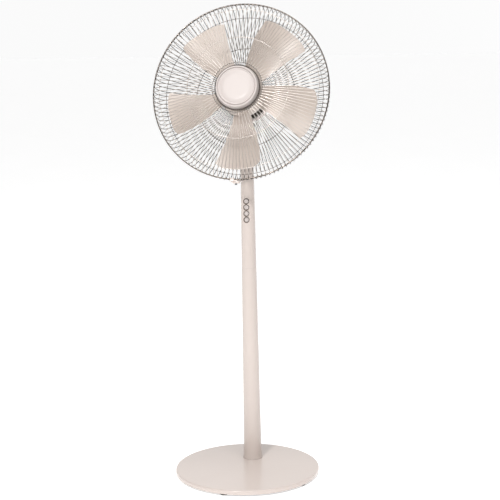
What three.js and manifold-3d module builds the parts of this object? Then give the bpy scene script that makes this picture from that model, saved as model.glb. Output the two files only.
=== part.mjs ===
// Pedestal fan: round base, slim tapered column with four push buttons, a turning neck,
// and a tilting head with a wire guard, a five-blade propeller and its motor.
// Millimetres, +Z up. The origin is the centre of the base on the floor; the fan blows towards -Y.
import * as THREE from 'three';
import { mergeVertices } from 'three/addons/utils/BufferGeometryUtils.js';
import Module from 'manifold-3d';

const wasm = await Module();
wasm.setup();

// ---------------------------------------------------------------- driving dimensions
const FIT_GAP = 0.3;              // clearance between pieces that touch

const BASE_RADIUS = 167.5;
const BASE_TOP = 14.5;
const BASE_UNDERSIDE = 3;
const BASE_WALL = 2.5;
const FOOT_COUNT = 5;
const FOOT_RADIUS = 10;
const FOOT_RING_RADIUS = 154;
const FOOT_FIRST_ANGLE = -98;     // degrees from +X, so that one foot is nearly at the front

const COLUMN_Y = 64;              // the column stands behind the centre of the base
const COLUMN_LOW_Z = 60;
const COLUMN_LOW_RADIUS = 21;
const COLUMN_HIGH_Z = 655;
const COLUMN_HIGH_RADIUS = 15.7;
const COLUMN_WALL = 2.4;
const COLUMN_FLARE_RADIUS = 27;
const COLUMN_SEAM_Z = 477;
const COLUMN_TOP = 742;

const BUTTON_COUNT = 4;
const BUTTON_TOP_Z = 635;
const BUTTON_PITCH = 14.3;
const BUTTON_RADIUS = 6;
const BUTTON_STAND_OUT = 2.6;

const HEAD_HEIGHT = 871;          // where the head's axis crosses the column's axis
const HEAD_TILT = 18;             // degrees that the head looks up at rest
const TILT_PIVOT_Z = -60;         // tilt pin, in the head's own frame and over the column's axis
const TILT_PIVOT_Y = -TILT_PIVOT_Z * Math.tan((HEAD_TILT * Math.PI) / 180);

const GUARD_RADIUS = 201;
const OUTER_RING_RADIUS = 182;
const INNER_RING_RADIUS = 115;
const GUARD_RIBS = 24;
const RIB_WIDTH = 2.6;
const GUARD_THICKNESS = 2.6;
const FRONT_PLANE = -93;          // inner ring of the front guard, in the head's own frame
const RIM_PLANE = -60;            // where the front and the rear guard meet

const BLADE_COUNT = 5;
const BLADE_TIP_RADIUS = 174.5;
const BLADE_MIDDLE = -46;
const BLADE_PHASE = 131;          // degrees from +X, seen from the front
const HUB_RADIUS = 51;

// ---------------------------------------------------------------- geometry helpers
const DEG = Math.PI / 180;

// A checked solid from any closed three.js geometry, turned so that its faces point out.
function toManifold(geometry) {
  const bare = geometry.clone();
  for (const name of Object.keys(bare.attributes)) {
    if (name !== 'position') bare.deleteAttribute(name);
  }
  const merged = mergeVertices(bare, 1e-4);
  const source = merged.index.array;
  const corners = [];
  for (let i = 0; i < source.length; i += 3) {
    const [a, b, c] = [source[i], source[i + 1], source[i + 2]];
    if (a !== b && b !== c && c !== a) corners.push(a, b, c);
  }
  const place = merged.attributes.position;
  let volume = 0;
  const va = new THREE.Vector3();
  const vb = new THREE.Vector3();
  const vc = new THREE.Vector3();
  for (let i = 0; i < corners.length; i += 3) {
    va.fromBufferAttribute(place, corners[i]);
    vb.fromBufferAttribute(place, corners[i + 1]);
    vc.fromBufferAttribute(place, corners[i + 2]);
    volume += va.dot(vb.cross(vc));
  }
  if (volume < 0) {
    for (let i = 0; i < corners.length; i += 3) {
      [corners[i + 1], corners[i + 2]] = [corners[i + 2], corners[i + 1]];
    }
  }
  const vertProperties = new Float32Array(place.array);
  const triVerts = new Uint32Array(corners);
  return new wasm.Manifold(new wasm.Mesh({ numProp: 3, vertProperties, triVerts }));
}

function toGeometry(solid) {
  const mesh = solid.getMesh();
  const geometry = new THREE.BufferGeometry();
  geometry.setAttribute('position', new THREE.BufferAttribute(new Float32Array(mesh.vertProperties), 3));
  geometry.setIndex(Array.from(mesh.triVerts));
  return geometry;
}

const joined = (...shapes) => toGeometry(shapes.map(toManifold).reduce((a, b) => a.add(b)));

function cut(shape, ...tools) {
  const rest = tools.map(toManifold).reduce((left, tool) => left.subtract(tool), toManifold(shape));
  return toGeometry(rest);
}

// A turned piece about the Y axis. Each profile point is [radius, distance along the axis].
function turned(profile, sides = 24) {
  const points = profile.map(([radius, along]) => new THREE.Vector2(Math.max(radius, 0), along));
  return new THREE.LatheGeometry(points, sides);
}

// The same piece standing upright, about the Z axis.
const upright = (profile, sides = 24) => turned(profile, sides).rotateX(Math.PI / 2);

// Closed profiles for a rod, from the axis out, and for a ring with a bore.
const rodProfile = (radius, from, to) => [[0, from], [radius, from], [radius, to], [0, to]];
const ringProfile = (bore, radius, from, to) => [
  [bore, from], [radius, from], [radius, to], [bore, to], [bore, from],
];

const rod = (radius, from, to, sides) => turned(rodProfile(radius, from, to), sides);
const ring = (bore, radius, from, to, sides) => turned(ringProfile(bore, radius, from, to), sides);
const post = (radius, from, to, sides) => upright(rodProfile(radius, from, to), sides);
const collar = (bore, radius, from, to, sides) => upright(ringProfile(bore, radius, from, to), sides);

function box(width, depth, height, x, y, z) {
  return new THREE.BoxGeometry(width, depth, height).translate(x, y, z);
}

function columnRadius(z) {
  const slope = (COLUMN_LOW_RADIUS - COLUMN_HIGH_RADIUS) / (COLUMN_HIGH_Z - COLUMN_LOW_Z);
  return COLUMN_LOW_RADIUS - slope * (z - COLUMN_LOW_Z);
}

function add(parent, name, geometry, look, place = [0, 0, 0]) {
  const mesh = new THREE.Mesh(geometry, new THREE.MeshStandardMaterial(look));
  mesh.name = name;
  mesh.position.set(...place);
  parent.add(mesh);
  return mesh;
}

// ---------------------------------------------------------------- looks
const GLOSS_SHELL = { color: 0xe6ddd8, roughness: 0.28, metalness: 0 };
const BLADE_PLASTIC = { color: 0xd9d1c9, roughness: 0.35, metalness: 0 };
const CAP_PLASTIC = { color: 0xece8e6, roughness: 0.3, metalness: 0 };
const DARK_PLASTIC = { color: 0x2b2725, roughness: 0.6, metalness: 0 };
const GREY_PLASTIC = { color: 0x8d8a86, roughness: 0.55, metalness: 0 };
const GUARD_WIRE = { color: 0xdcd7d2, roughness: 0.35, metalness: 0.3 };
const STEEL = { color: 0x9a9c9e, roughness: 0.35, metalness: 1 };
const BLACK_RUBBER = { color: 0x181818, roughness: 0.85, metalness: 0 };
const GREEN_BOARD = { color: 0x2d5b3a, roughness: 0.5, metalness: 0 };
const COPPER = { color: 0xb06a3c, roughness: 0.4, metalness: 0.8 };
const BRONZE = { color: 0xa07a45, roughness: 0.45, metalness: 0.9 };

const fan = new THREE.Group();

// ---------------------------------------------------------------- base
function baseCover() {
  const skin = BASE_WALL;
  const outline = [
    [BASE_RADIUS - skin, BASE_UNDERSIDE],
    [BASE_RADIUS, BASE_UNDERSIDE],
    [BASE_RADIUS, BASE_TOP - 4.6],
    [BASE_RADIUS - 0.7, BASE_TOP - 2.6],
    [BASE_RADIUS - 2.2, BASE_TOP - 1.1],
    [BASE_RADIUS - 4.5, BASE_TOP - 0.5],
    [BASE_RADIUS - 30, BASE_TOP],
    [0, BASE_TOP],
    [0, BASE_TOP - skin],
    [BASE_RADIUS - 31, BASE_TOP - skin],
    [BASE_RADIUS - skin, BASE_TOP - skin - 1.6],
    [BASE_RADIUS - skin, BASE_UNDERSIDE],
  ];
  const cover = upright(outline, 56);
  const poleHole = post(13.5, 0, 30, 20).translate(0, COLUMN_Y, 0);
  const inletNotch = box(13, 20, 8.2, 0, BASE_RADIUS - 4, BASE_UNDERSIDE + 3.6);
  return cut(cover, poleHole, inletNotch, ...flangeScrewHoles());
}

const WEIGHT_BOTTOM = 3.4;
const WEIGHT_TOP = 9.6;

function baseWeight() {
  const plate = post(BASE_RADIUS - 9, WEIGHT_BOTTOM, WEIGHT_TOP, 40);
  const inletNotch = box(18, 30, 20, 0, BASE_RADIUS - 9, 6);
  const footHoles = [];
  for (let i = 0; i < FOOT_COUNT; i += 1) {
    const [x, y] = footPlace(i);
    footHoles.push(post(3.6, 0, 20, 8).translate(x, y, 0));
  }
  return cut(plate, inletNotch, ...footHoles, ...flangeScrewHoles());
}

function footPlace(i) {
  const angle = (FOOT_FIRST_ANGLE + (i * 360) / FOOT_COUNT) * DEG;
  return [FOOT_RING_RADIUS * Math.cos(angle), FOOT_RING_RADIUS * Math.sin(angle)];
}

// Three screws on a circle round the column clamp the base together.
const FLANGE_SCREWS = [0, 1, 2].map((i) => {
  const angle = (90 + i * 120) * DEG;
  return [19 * Math.cos(angle), COLUMN_Y + 19 * Math.sin(angle)];
});

const flangeScrewHoles = () => FLANGE_SCREWS.map(([x, y]) => post(2.4, 0, 40, 8).translate(x, y, 0));

function rubberFoot() {
  const outline = [[0, 0], [FOOT_RADIUS - 1, 0], [FOOT_RADIUS, 1], [FOOT_RADIUS, WEIGHT_BOTTOM - FIT_GAP],
    [3.2, WEIGHT_BOTTOM - FIT_GAP], [3.2, WEIGHT_TOP - 1], [0, WEIGHT_TOP - 1]];
  return upright(outline, 12);
}

add(fan, 'base_cover', baseCover(), GLOSS_SHELL);
add(fan, 'base_weight', baseWeight(), STEEL);
for (let i = 0; i < FOOT_COUNT; i += 1) {
  const [x, y] = footPlace(i);
  add(fan, `rubber_foot_${i + 1}`, rubberFoot(), BLACK_RUBBER, [x, y, 0]);
}

// The opening in the rear edge of the base where the mains lead comes in.
function cordInletBush() {
  const block = box(12.4, 9, 7, 0, 0, 0);
  const bore = rod(2.6, -10, 10, 12);
  return cut(block, bore);
}
add(fan, 'cord_inlet_bush', cordInletBush(), BLACK_RUBBER, [0, BASE_RADIUS - 6.4, BASE_UNDERSIDE + 3.8]);

// ---------------------------------------------------------------- column
const POLE_RADIUS = 11;
const POLE_BORE = 9.6;
const POLE_FOOT = 15.2;
const POLE_TOP = 520;

// The steel flange clamps the cover and the weight together and carries the pole.
function poleFlange() {
  const outline = [[POLE_RADIUS + FIT_GAP, BASE_TOP + FIT_GAP], [24.5, BASE_TOP + FIT_GAP],
    [24.5, BASE_TOP + 3.3], [15.5, BASE_TOP + 3.3], [14, BASE_TOP + 26],
    [POLE_RADIUS + FIT_GAP, BASE_TOP + 26], [POLE_RADIUS + FIT_GAP, BASE_TOP + FIT_GAP]];
  const flange = upright(outline, 24).translate(0, COLUMN_Y, 0);
  return cut(flange, ...flangeScrewHoles());
}

// A screw from below, through the weight and the cover, into the flange.
function flangeScrew() {
  const outline = [[0, 0.9], [3.9, 0.9], [4.6, 3.1], [2.1, 3.1], [2.1, BASE_TOP + 6], [0, BASE_TOP + 6]];
  return upright(outline, 8);
}

function lowerColumn() {
  const foot = BASE_TOP + FIT_GAP;
  const steps = [0, 0.12, 0.3, 0.55, 1];
  const flareTop = 52;
  const outside = steps.map((t) => {
    const z = foot + t * (flareTop - foot);
    const spread = (COLUMN_FLARE_RADIUS - columnRadius(flareTop)) * (1 - t) ** 2.4;
    return [columnRadius(z) + spread, z];
  });
  outside.push([columnRadius(COLUMN_SEAM_Z), COLUMN_SEAM_Z]);
  const inside = [[columnRadius(COLUMN_SEAM_Z) - COLUMN_WALL, COLUMN_SEAM_Z],
    [columnRadius(60) - COLUMN_WALL, 60], [25, 24], [25, foot]];
  return upright([...outside, ...inside, outside[0]], 28);
}

function upperColumn() {
  const low = COLUMN_SEAM_Z + FIT_GAP;
  const roof = COLUMN_TOP - 3;
  const outline = [
    [columnRadius(low) - COLUMN_WALL, low],
    [columnRadius(low), low],
    [columnRadius(COLUMN_TOP - 1.5), COLUMN_TOP - 1.5],
    [columnRadius(COLUMN_TOP) - 1.2, COLUMN_TOP],
    [9.6, COLUMN_TOP],
    [9.6, roof],
    [columnRadius(roof) - COLUMN_WALL, roof],
    [columnRadius(low) - COLUMN_WALL, low],
  ];
  const sleeve = upright(outline, 28);
  const holes = buttonHeights().map((z) => rod(BUTTON_RADIUS + 0.4, -30, -5, 16).translate(0, 0, z));
  return cut(sleeve, ...holes);
}

function buttonHeights() {
  return Array.from({ length: BUTTON_COUNT }, (_, i) => BUTTON_TOP_Z - i * BUTTON_PITCH);
}

// The plastic plug that joins the two sleeves round the steel pole.
function columnJoiner() {
  const bore = POLE_RADIUS + FIT_GAP;
  const low = COLUMN_SEAM_Z - 18;
  const high = COLUMN_SEAM_Z + 18;
  return upright([[bore, low], [columnRadius(low) - COLUMN_WALL - 0.5, low],
    [columnRadius(high) - COLUMN_WALL - 0.5, high], [bore, high], [bore, low]], 20);
}

const column = new THREE.Group();
column.position.y = COLUMN_Y;
fan.add(column);
add(column, 'inner_pole', collar(POLE_BORE, POLE_RADIUS, POLE_FOOT, POLE_TOP, 20), STEEL);
add(fan, 'pole_flange', poleFlange(), STEEL);
FLANGE_SCREWS.forEach(([x, y], i) => {
  add(fan, `flange_screw_${i + 1}`, flangeScrew(), STEEL, [x, y, 0]);
});
add(column, 'lower_column', lowerColumn(), GLOSS_SHELL);
add(column, 'upper_column', upperColumn(), GLOSS_SHELL);
add(column, 'column_joiner', columnJoiner(), GREY_PLASTIC);

// ---------------------------------------------------------------- controls
const BUTTON_FLANGE_FRONT = -9.9;  // in the column's frame, just behind the sleeve's front wall
const BOARD_FRONT = -2.2;

function button() {
  const face = -(columnRadius(BUTTON_TOP_Z) + BUTTON_STAND_OUT);
  const back = BUTTON_FLANGE_FRONT + 1.1;
  const outline = [[0, face], [BUTTON_RADIUS - 1.6, face + 0.2], [BUTTON_RADIUS - 0.4, face + 0.8],
    [BUTTON_RADIUS, face + 1.8], [BUTTON_RADIUS, BUTTON_FLANGE_FRONT], [6.7, BUTTON_FLANGE_FRONT],
    [6.7, back], [1.4, back], [1.4, back + 3.2], [0, back + 3.2]];
  return turned(outline, 16);
}

// A light coil spring between the button and its switch on the board.
function buttonSpring() {
  const turns = 3;
  const from = BUTTON_FLANGE_FRONT + 1.1 + FIT_GAP + 0.35;
  const to = BOARD_FRONT - FIT_GAP - 0.35;
  class Helix extends THREE.Curve {
    getPoint(t, target = new THREE.Vector3()) {
      const angle = t * turns * 2 * Math.PI;
      return target.set(2.6 * Math.cos(angle), from + t * (to - from), 2.6 * Math.sin(angle));
    }
  }
  const section = new THREE.Shape();
  for (let i = 0; i < 4; i += 1) {
    const corner = [0.3 * Math.cos(i * 90 * DEG), 0.3 * Math.sin(i * 90 * DEG)];
    if (i === 0) section.moveTo(...corner);
    else section.lineTo(...corner);
  }
  return new THREE.ExtrudeGeometry(section, { steps: 18, extrudePath: new Helix(), curveSegments: 1 });
}

function controlBoard() {
  const heights = buttonHeights();
  const middle = (heights[0] + heights[BUTTON_COUNT - 1]) / 2;
  const board = box(19, 1.6, 62, 0, BOARD_FRONT + 0.8, middle);
  const chip = box(9, 2.2, 9, 0, BOARD_FRONT + 2.6, middle);
  const relay = box(10, 6, 12, 0, BOARD_FRONT + 4.5, middle - 20);
  return joined(board, chip, relay);
}

buttonHeights().forEach((z, i) => {
  add(column, `button_${i + 1}`, button(), CAP_PLASTIC, [0, 0, z]);
  add(column, `button_spring_${i + 1}`, buttonSpring(), STEEL, [0, 0, z]);
});
add(column, 'control_board', controlBoard(), GREEN_BOARD);

// ---------------------------------------------------------------- oscillation drive and neck
const GEAR_MODULE = 0.7;
const RING_TEETH = 24;
const PINION_TEETH = 12;
const RING_PITCH = (GEAR_MODULE * RING_TEETH) / 2;
const PINION_PITCH = (GEAR_MODULE * PINION_TEETH) / 2;
const PINION_OFFSET = RING_PITCH - PINION_PITCH;
const GEAR_LOW = 706;
const GEAR_HIGH = 712;

// The outline of a gear with straight-sided teeth. phase is in teeth.
function gearOutline(teeth, root, tip, rootShare, tipShare, phase) {
  const points = [];
  for (let i = 0; i < teeth; i += 1) {
    const middle = ((i + phase) * 2 * Math.PI) / teeth;
    const step = (2 * Math.PI) / teeth;
    for (const [radius, offset] of [[root, -rootShare / 2], [tip, -tipShare / 2], [tip, tipShare / 2],
      [root, rootShare / 2]]) {
      const angle = middle + offset * step;
      points.push(new THREE.Vector2(radius * Math.cos(angle), radius * Math.sin(angle)));
    }
  }
  return points;
}

function gearPrism(outline, low, high) {
  const shape = new THREE.Shape(outline);
  return new THREE.ExtrudeGeometry(shape, { depth: high - low, bevelEnabled: false }).translate(0, 0, low);
}

function oscillationPinion() {
  const outline = gearOutline(PINION_TEETH, PINION_PITCH - 0.85, PINION_PITCH + 0.5, 0.62, 0.24, 0.5);
  const gear = gearPrism(outline, GEAR_LOW + 0.3, GEAR_HIGH - 0.5);
  return joined(gear, post(1.5, GEAR_LOW - 9, GEAR_LOW + 1, 12));
}

// The turning spindle. Its lower end is a cup with the internal gear that the pinion drives.
function neckSpindle() {
  const outline = [[3.2, GEAR_HIGH + FIT_GAP], [11.4, GEAR_HIGH + FIT_GAP], [11.4, GEAR_HIGH + 3],
    [6.2, GEAR_HIGH + 3], [6.2, COLUMN_TOP + 12], [3.2, COLUMN_TOP + 12], [3.2, GEAR_HIGH + FIT_GAP]];
  const stem = upright(outline, 24);
  const rim = collar(RING_PITCH - 1.4, 11.4, GEAR_LOW, GEAR_HIGH + 1, 24);
  const teethGap = gearOutline(RING_TEETH, RING_PITCH - 0.5, RING_PITCH + 0.85, 0.76, 0.38, 0.5);
  return joined(cut(rim, gearPrism(teethGap, GEAR_LOW - 1, GEAR_HIGH + FIT_GAP)), stem);
}

function oscillationMotor() {
  const body = post(11.4, 676, 697, 20);
  const boss = post(4, 696, 704.5, 16).translate(0, -PINION_OFFSET, 0);
  const bore = post(1.8, 694, 710, 12).translate(0, -PINION_OFFSET, 0);
  return cut(joined(body, boss), bore);
}

// Flanged bush in the column's roof that carries the neck.
function neckBush() {
  return upright([[6.4, COLUMN_TOP - 9], [9.3, COLUMN_TOP - 9], [9.3, COLUMN_TOP + FIT_GAP],
    [11.5, COLUMN_TOP + FIT_GAP], [11.5, COLUMN_TOP + 1.5], [6.4, COLUMN_TOP + 1.5],
    [6.4, COLUMN_TOP - 9]], 20);
}

add(column, 'oscillation_motor', oscillationMotor(), STEEL);
add(column, 'oscillation_pinion', oscillationPinion(), CAP_PLASTIC, [0, -PINION_OFFSET, 0]);
add(column, 'neck_bush', neckBush(), BRONZE);
add(column, 'neck_spindle', neckSpindle(), STEEL);

const PIVOT_DROP = TILT_PIVOT_Y * Math.sin(HEAD_TILT * DEG) - TILT_PIVOT_Z * Math.cos(HEAD_TILT * DEG);
const PIVOT_HEIGHT = HEAD_HEIGHT - PIVOT_DROP;
const EAR_INNER = 9;
const EAR_OUTER = 15;
const EAR_RADIUS = 10.6;

// The neck is a round post whose top is a fork round the tilt pin.
function neckPost() {
  const low = COLUMN_TOP + 1.5 + FIT_GAP;
  const shoulder = PIVOT_HEIGHT - 20;
  const crown = PIVOT_HEIGHT - 8;
  const stem = upright([[0, low], [columnRadius(COLUMN_TOP) - 0.6, low],
    [columnRadius(COLUMN_TOP), low + 1.5], [EAR_OUTER, shoulder], [EAR_RADIUS, crown], [0, crown]], 24);
  const eyes = new THREE.CylinderGeometry(EAR_RADIUS, EAR_RADIUS, 2 * EAR_OUTER, 20).rotateZ(Math.PI / 2)
    .translate(0, 0, PIVOT_HEIGHT);
  const slot = box(2 * EAR_INNER, 60, 24, 0, 0, PIVOT_HEIGHT);
  const pinHole = new THREE.CylinderGeometry(3.3, 3.3, 60, 20).rotateZ(Math.PI / 2)
    .translate(0, 0, PIVOT_HEIGHT);
  const socket = post(6.5, low - 5, COLUMN_TOP + 12.4, 24);
  return cut(joined(stem, eyes), slot, pinHole, socket);
}

// A rod along the X axis.
const crossRod = (radius, from, to, sides) => rod(radius, from, to, sides).rotateZ(-Math.PI / 2);

function tiltPin() {
  return turned([[0, -19], [5, -19], [5.6, -18], [5.6, -15.6], [3, -15.6], [3, 20], [0, 20]], 16)
    .rotateZ(-Math.PI / 2);
}

function tiltNut() {
  const nut = new THREE.CylinderGeometry(6, 6, 3.6, 6).rotateZ(-Math.PI / 2);
  const bore = crossRod(3.3, -10, 10, 20);
  return cut(nut, bore);
}

add(column, 'neck_post', neckPost(), GLOSS_SHELL);
add(column, 'tilt_pin', tiltPin(), STEEL, [0, 0, PIVOT_HEIGHT]);
add(column, 'tilt_nut', tiltNut(), STEEL, [17.4, 0, PIVOT_HEIGHT]);

// ---------------------------------------------------------------- head
// The head's own frame has its axis along Y, with the front at -Y, and is tilted as a whole.
const head = new THREE.Group();
head.position.set(0, COLUMN_Y, HEAD_HEIGHT);
head.rotation.x = -HEAD_TILT * DEG;
fan.add(head);

const PLATE_FRONT = 7;
const PLATE_BACK = 12;
const HOUSING_REAR = 78;

function motorFrontPlate() {
  const outline = [[4.2, PLATE_FRONT - 5], [12.4, PLATE_FRONT - 5], [12.4, PLATE_FRONT], [42, PLATE_FRONT],
    [43.5, PLATE_FRONT + 1.5], [43.5, PLATE_BACK], [9.7, PLATE_BACK], [9.7, PLATE_FRONT - 3.5],
    [4.2, PLATE_FRONT - 3.5], [4.2, PLATE_FRONT - 5]];
  const plate = turned(outline, 28);
  const threadedBoss = ring(24, 28, PLATE_FRONT - 9, PLATE_FRONT + 1, 24);
  return joined(plate, threadedBoss);
}

// The rear shell of the motor, a rounded cup with vent slots in its back.
function motorHousing() {
  const outline = [[45, PLATE_BACK + FIT_GAP], [47.5, PLATE_BACK + FIT_GAP],
    [48, PLATE_BACK + 14], [46.5, 44], [42, 60], [33, 72], [20, HOUSING_REAR],
    [0, HOUSING_REAR + 1], [0, HOUSING_REAR - 1.5],
    [19, HOUSING_REAR - 2.6], [31.4, 69.6], [39.8, 58.6], [44, 43], [45.4, PLATE_BACK + 14],
    [45, PLATE_BACK + FIT_GAP]];
  const shell = turned(outline, 32);
  const slots = [];
  for (const x of [-12, -4, 4, 12]) {
    slots.push(box(3, 30, 26, x, HOUSING_REAR - 2, 6));
  }
  const lugGap = box(17.2, 22, 20, 0, TILT_PIVOT_Y + 2, -48);
  const screwHole = rod(1.9, HOUSING_REAR - 20, HOUSING_REAR + 10, 10).translate(0, 0, -14);
  return cut(shell, ...slots, lugGap, screwHole);
}

// Holds the rear shell to the bridge inside it.
function housingScrew() {
  return turned([[0, 53], [1.6, 53], [1.6, HOUSING_REAR + 1.4], [3.4, HOUSING_REAR + 1.4],
    [3, HOUSING_REAR + 3], [0, HOUSING_REAR + 3]], 10);
}

// The frame that holds the motor and hangs on the tilt pin.
function motorBracket() {
  const band = ring(41, 43.6, PLATE_BACK + FIT_GAP, 30, 28);
  const eye = new THREE.CylinderGeometry(11, 11, 16.4, 24).rotateZ(Math.PI / 2)
    .translate(0, TILT_PIVOT_Y, TILT_PIVOT_Z);
  const lug = box(16.4, 16, 18.4, 0, TILT_PIVOT_Y + 1.4, TILT_PIVOT_Z + 9.2);
  const bore = new THREE.CylinderGeometry(3.3, 3.3, 40, 20).rotateZ(Math.PI / 2)
    .translate(0, TILT_PIVOT_Y, TILT_PIVOT_Z);
  return cut(joined(band, eye, lug), bore);
}

function motorStator() {
  const coilRing = ring(23.5, 40.4, PLATE_BACK + 3, 46, 24);
  const slots = [];
  for (let i = 0; i < 9; i += 1) {
    slots.push(box(4, 60, 11, 0, 30, 29).rotateY(i * 40 * DEG));
  }
  return cut(coilRing, ...slots);
}

const motorRotor = () => ring(3.4, 23, PLATE_BACK + 5, 45, 24);
const ballBearing = (from) => ring(3.4, 9.4, from, from + 6, 20);

// Carries the rear bearing and bolts to the bracket's band through the stator.
function bearingBridge() {
  const cup = turned([[9.7, 48], [12, 48], [12, 50], [38, 50], [38, 52.4], [4.2, 52.4], [4.2, 51.6],
    [9.7, 51.6], [9.7, 48]], 24);
  return cup;
}

const DRIVE_PIN_PLANE = -28.4;

function motorShaft() {
  const bar = rod(3, -66, 51, 16);
  return cut(bar, crossRod(1.5, -10, 10, 10).translate(0, DRIVE_PIN_PLANE, 0));
}

add(head, 'motor_front_plate', motorFrontPlate(), DARK_PLASTIC);
add(head, 'motor_housing', motorHousing(), GLOSS_SHELL);
add(head, 'housing_screw', housingScrew(), STEEL, [0, 0, -14]);
add(head, 'motor_bracket', motorBracket(), STEEL);
add(head, 'motor_stator', motorStator(), COPPER);
add(head, 'bearing_bridge', bearingBridge(), STEEL);
add(head, 'motor_rotor', motorRotor(), STEEL);
add(head, 'motor_shaft', motorShaft(), STEEL);

// ---------------------------------------------------------------- guards
// A dished guard of radial ribs and rings. Each profile point is [radius, along the axis];
// a stretch is a full ring where its flag is true, and otherwise only ribs.
function ribbedGuard(profile, isRing, ribs) {
  const normals = profile.map((_, i) => {
    const before = profile[Math.max(i - 1, 0)];
    const after = profile[Math.min(i + 1, profile.length - 1)];
    const run = new THREE.Vector2(after[0] - before[0], after[1] - before[1]).normalize();
    return new THREE.Vector2(-run.y, run.x);
  });
  const columns = 2 * ribs;
  const position = [];
  profile.forEach(([radius, along], i) => {
    for (let j = 0; j < columns; j += 1) {
      const side = j % 2 === 0 ? -1 : 1;
      const middle = (Math.floor(j / 2) * 2 * Math.PI) / ribs;
      const angle = middle + (side * RIB_WIDTH) / (2 * radius);
      for (const face of [1, -1]) {
        const r = radius + (face * GUARD_THICKNESS * normals[i].x) / 2;
        const a = along + (face * GUARD_THICKNESS * normals[i].y) / 2;
        position.push(r * Math.cos(angle), a, r * Math.sin(angle));
      }
    }
  });
  const at = (i, j, face) => 2 * (i * columns + (j % columns)) + face;
  const filled = (i, j) => i >= 0 && i < isRing.length && (isRing[i] || (j + columns) % 2 === 0);
  const index = [];
  const quad = (a, b, c, d) => index.push(a, b, c, a, c, d);
  for (let i = 0; i < isRing.length; i += 1) {
    for (let j = 0; j < columns; j += 1) {
      if (!filled(i, j)) continue;
      const m = i + 1;
      const n = j + 1;
      quad(at(i, j, 0), at(i, n, 0), at(m, n, 0), at(m, j, 0));
      quad(at(i, j, 1), at(m, j, 1), at(m, n, 1), at(i, n, 1));
      if (!filled(i - 1, j)) quad(at(i, j, 0), at(i, j, 1), at(i, n, 1), at(i, n, 0));
      if (!filled(m, j)) quad(at(m, j, 0), at(m, n, 0), at(m, n, 1), at(m, j, 1));
      if (!filled(i, j - 1)) quad(at(i, j, 0), at(m, j, 0), at(m, j, 1), at(i, j, 1));
      if (!filled(i, n)) quad(at(i, n, 0), at(i, n, 1), at(m, n, 1), at(m, n, 0));
    }
  }
  const geometry = new THREE.BufferGeometry();
  geometry.setAttribute('position', new THREE.Float32BufferAttribute(position, 3));
  geometry.setIndex(index);
  return toGeometry(toManifold(geometry));
}

const RING_WIDTH = 3;
const RIM_DEPTH = 3.6;

function frontGuard() {
  const profile = [
    [40, FRONT_PLANE - 6], [46, FRONT_PLANE - 6],
    [INNER_RING_RADIUS - RING_WIDTH / 2, FRONT_PLANE],
    [INNER_RING_RADIUS + RING_WIDTH / 2, FRONT_PLANE + 0.3],
    [OUTER_RING_RADIUS - RING_WIDTH / 2, FRONT_PLANE + 10.8],
    [OUTER_RING_RADIUS + RING_WIDTH / 2, FRONT_PLANE + 11.8],
    [GUARD_RADIUS - 7, FRONT_PLANE + 17], [GUARD_RADIUS - 1.5, FRONT_PLANE + 24],
    [GUARD_RADIUS, RIM_PLANE - FIT_GAP - RIM_DEPTH], [GUARD_RADIUS, RIM_PLANE - FIT_GAP],
  ];
  const rings = [true, false, true, false, true, false, false, false, true];
  return ribbedGuard(profile, rings, GUARD_RIBS);
}

function rearGuard() {
  const profile = [
    [GUARD_RADIUS, RIM_PLANE + FIT_GAP], [GUARD_RADIUS, RIM_PLANE + FIT_GAP + RIM_DEPTH],
    [GUARD_RADIUS, RIM_PLANE + 20], [GUARD_RADIUS - 6, RIM_PLANE + 33],
    [OUTER_RING_RADIUS + RING_WIDTH / 2, -20.5], [OUTER_RING_RADIUS - RING_WIDTH / 2, -19],
    [INNER_RING_RADIUS + RING_WIDTH / 2, 0.7], [INNER_RING_RADIUS - RING_WIDTH / 2, 1.2],
    [50, 4.2], [29, 4.2],
  ];
  const rings = [true, false, false, false, true, false, true, false, true];
  return ribbedGuard(profile, rings, GUARD_RIBS);
}

// The big plastic nut that clamps the rear guard to the motor's threaded boss.
function guardNut() {
  return turned([[28.4, -4], [37, -4], [39, -2], [39, 2.6], [28.4, 2.6], [28.4, -4]], 24);
}

// The blank disc at the centre of the front guard.
function frontCap() {
  const face = FRONT_PLANE - 12;
  const outline = [[0, face + 0.9], [30, face + 0.9], [38, face + 0.4], [40.2, face], [40.9, face + 0.8],
    [41.6, face], [44.4, face + 0.2], [46, face + 1.6], [46, FRONT_PLANE - 8], [0, FRONT_PLANE - 8]];
  return turned(outline, 32);
}

function capRetainer() {
  return turned([[0, FRONT_PLANE - 7.7], [39.2, FRONT_PLANE - 7.7], [39.2, FRONT_PLANE - 4],
    [44, FRONT_PLANE - 4], [44, FRONT_PLANE - 2.2], [0, FRONT_PLANE - 2.2]], 24);
}

// The clip that locks the two rims together at the bottom, with its screw.
const CLIP_RADIUS = GUARD_RADIUS + 2.2;

function guardClip() {
  const plate = box(26, 16.4, 2.2, 0, RIM_PLANE, -(CLIP_RADIUS + 1.6));
  const hooks = [];
  for (const x of [-8, 8]) {
    for (const reach of [-7.2, 7.2]) {
      hooks.push(box(10, 2, 6, x, RIM_PLANE + reach, -(CLIP_RADIUS - 0.3)));
    }
  }
  const wing = box(16, 8, 5.2, 0, RIM_PLANE, -(CLIP_RADIUS + 4.6));
  const bore = post(1.8, -CLIP_RADIUS - 12, -CLIP_RADIUS + 3, 12).translate(0, RIM_PLANE, 0);
  return cut(joined(plate, wing, ...hooks), bore);
}

function clipScrew() {
  return upright([[0, -3.2], [3, -3.2], [3, -1.4], [1.5, -1.4], [1.5, 7.2], [0, 7.2]], 8);
}

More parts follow.
